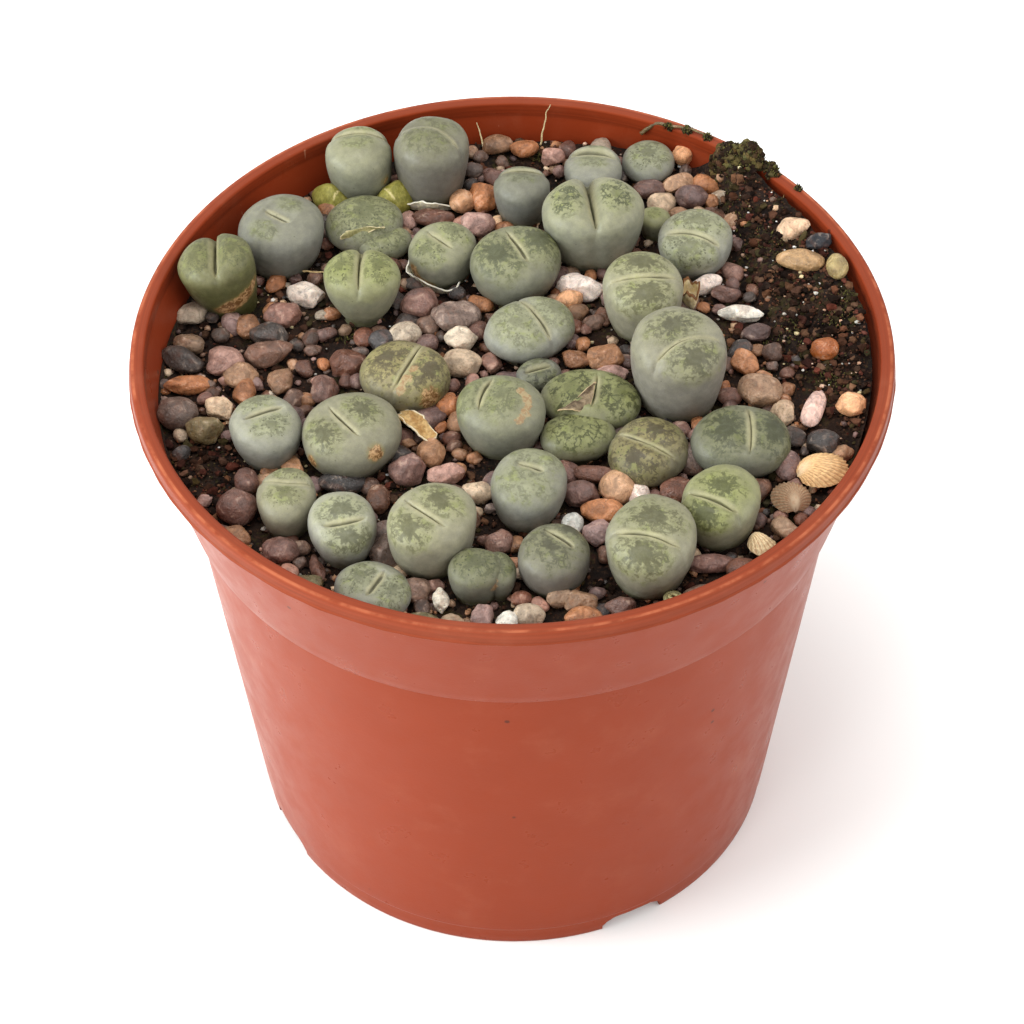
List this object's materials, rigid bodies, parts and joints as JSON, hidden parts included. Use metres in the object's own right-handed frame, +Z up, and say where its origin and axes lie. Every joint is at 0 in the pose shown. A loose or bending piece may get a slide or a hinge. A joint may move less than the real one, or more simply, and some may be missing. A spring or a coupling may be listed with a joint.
{
  "type": "potted lithops",
  "caption": "Round plastic pot of living-stone succulents standing in gritty gravel and dark soil, with small stones and shells among them.",
  "frame": {"origin": "centre of the pot's underside, on the surface that it stands on", "axes": "+Z up along the pot's axis, -Y towards the viewer of the picture, +X to the right"},
  "size_m": [0.105, 0.105, 0.0924],
  "materials": {
    "pot_plastic": "satin moulded terracotta-coloured plastic, brighter on the lip",
    "potting_soil": "dark crumbly potting mix with small white grains",
    "gravel": "mixed pink, tan, mauve and grey grit over dark soil",
    "lithops_skin": "dull waxy grey-green skin with darker feathery windows",
    "white_stone": "rough white quartz",
    "pebble": "smooth orange and tan pebble",
    "black_crumb": "dull black",
    "shell": "ribbed, chalky shell",
    "old_leaf": "soft yellow-green withering leaf",
    "dry_skin": "dry papery leaf skin"
  },
  "bodies": {
    "root": {"pot": "pot_plastic", "soil": "potting_soil", "gravel": "gravel", "lithops_01": "lithops_skin", "lithops_02": "lithops_skin", "lithops_03": "lithops_skin", "lithops_04": "lithops_skin", "lithops_05": "lithops_skin", "lithops_06": "lithops_skin", "lithops_07": "lithops_skin", "lithops_08": "lithops_skin", "lithops_09": "lithops_skin", "lithops_10": "lithops_skin", "lithops_11": "lithops_skin", "lithops_12": "lithops_skin", "lithops_13": "lithops_skin", "lithops_14": "lithops_skin", "lithops_15": "lithops_skin", "lithops_16": "lithops_skin", "lithops_17": "lithops_skin", "lithops_18": "lithops_skin", "lithops_19": "lithops_skin", "lithops_20": "lithops_skin", "lithops_21": "lithops_skin", "lithops_22": "lithops_skin", "lithops_23": "lithops_skin", "lithops_24": "lithops_skin", "lithops_25": "lithops_skin", "lithops_26": "lithops_skin", "lithops_27": "lithops_skin", "lithops_28": "lithops_skin", "lithops_29": "lithops_skin", "lithops_30": "lithops_skin", "lithops_31": "lithops_skin", "lithops_32": "lithops_skin", "lithops_33": "lithops_skin", "lithops_34": "lithops_skin", "quartz_1": "white_stone", "quartz_2": "white_stone", "quartz_3": "white_stone", "quartz_4": "white_stone", "quartz_5": "white_stone", "quartz_6": "white_stone", "quartz_7": "white_stone", "quartz_8": "white_stone", "pebble_1": "pebble", "pebble_2": "pebble", "pebble_3": "pebble", "pebble_4": "pebble", "charcoal": "black_crumb", "shell_1": "shell", "shell_2": "shell", "shell_3": "shell", "old_leaves": "old_leaf", "dry_collar_1": "dry_skin", "dry_collar_2": "dry_skin", "dry_leaf": "dry_skin", "dry_cup": "dry_skin"}
  },
  "joints": []
}
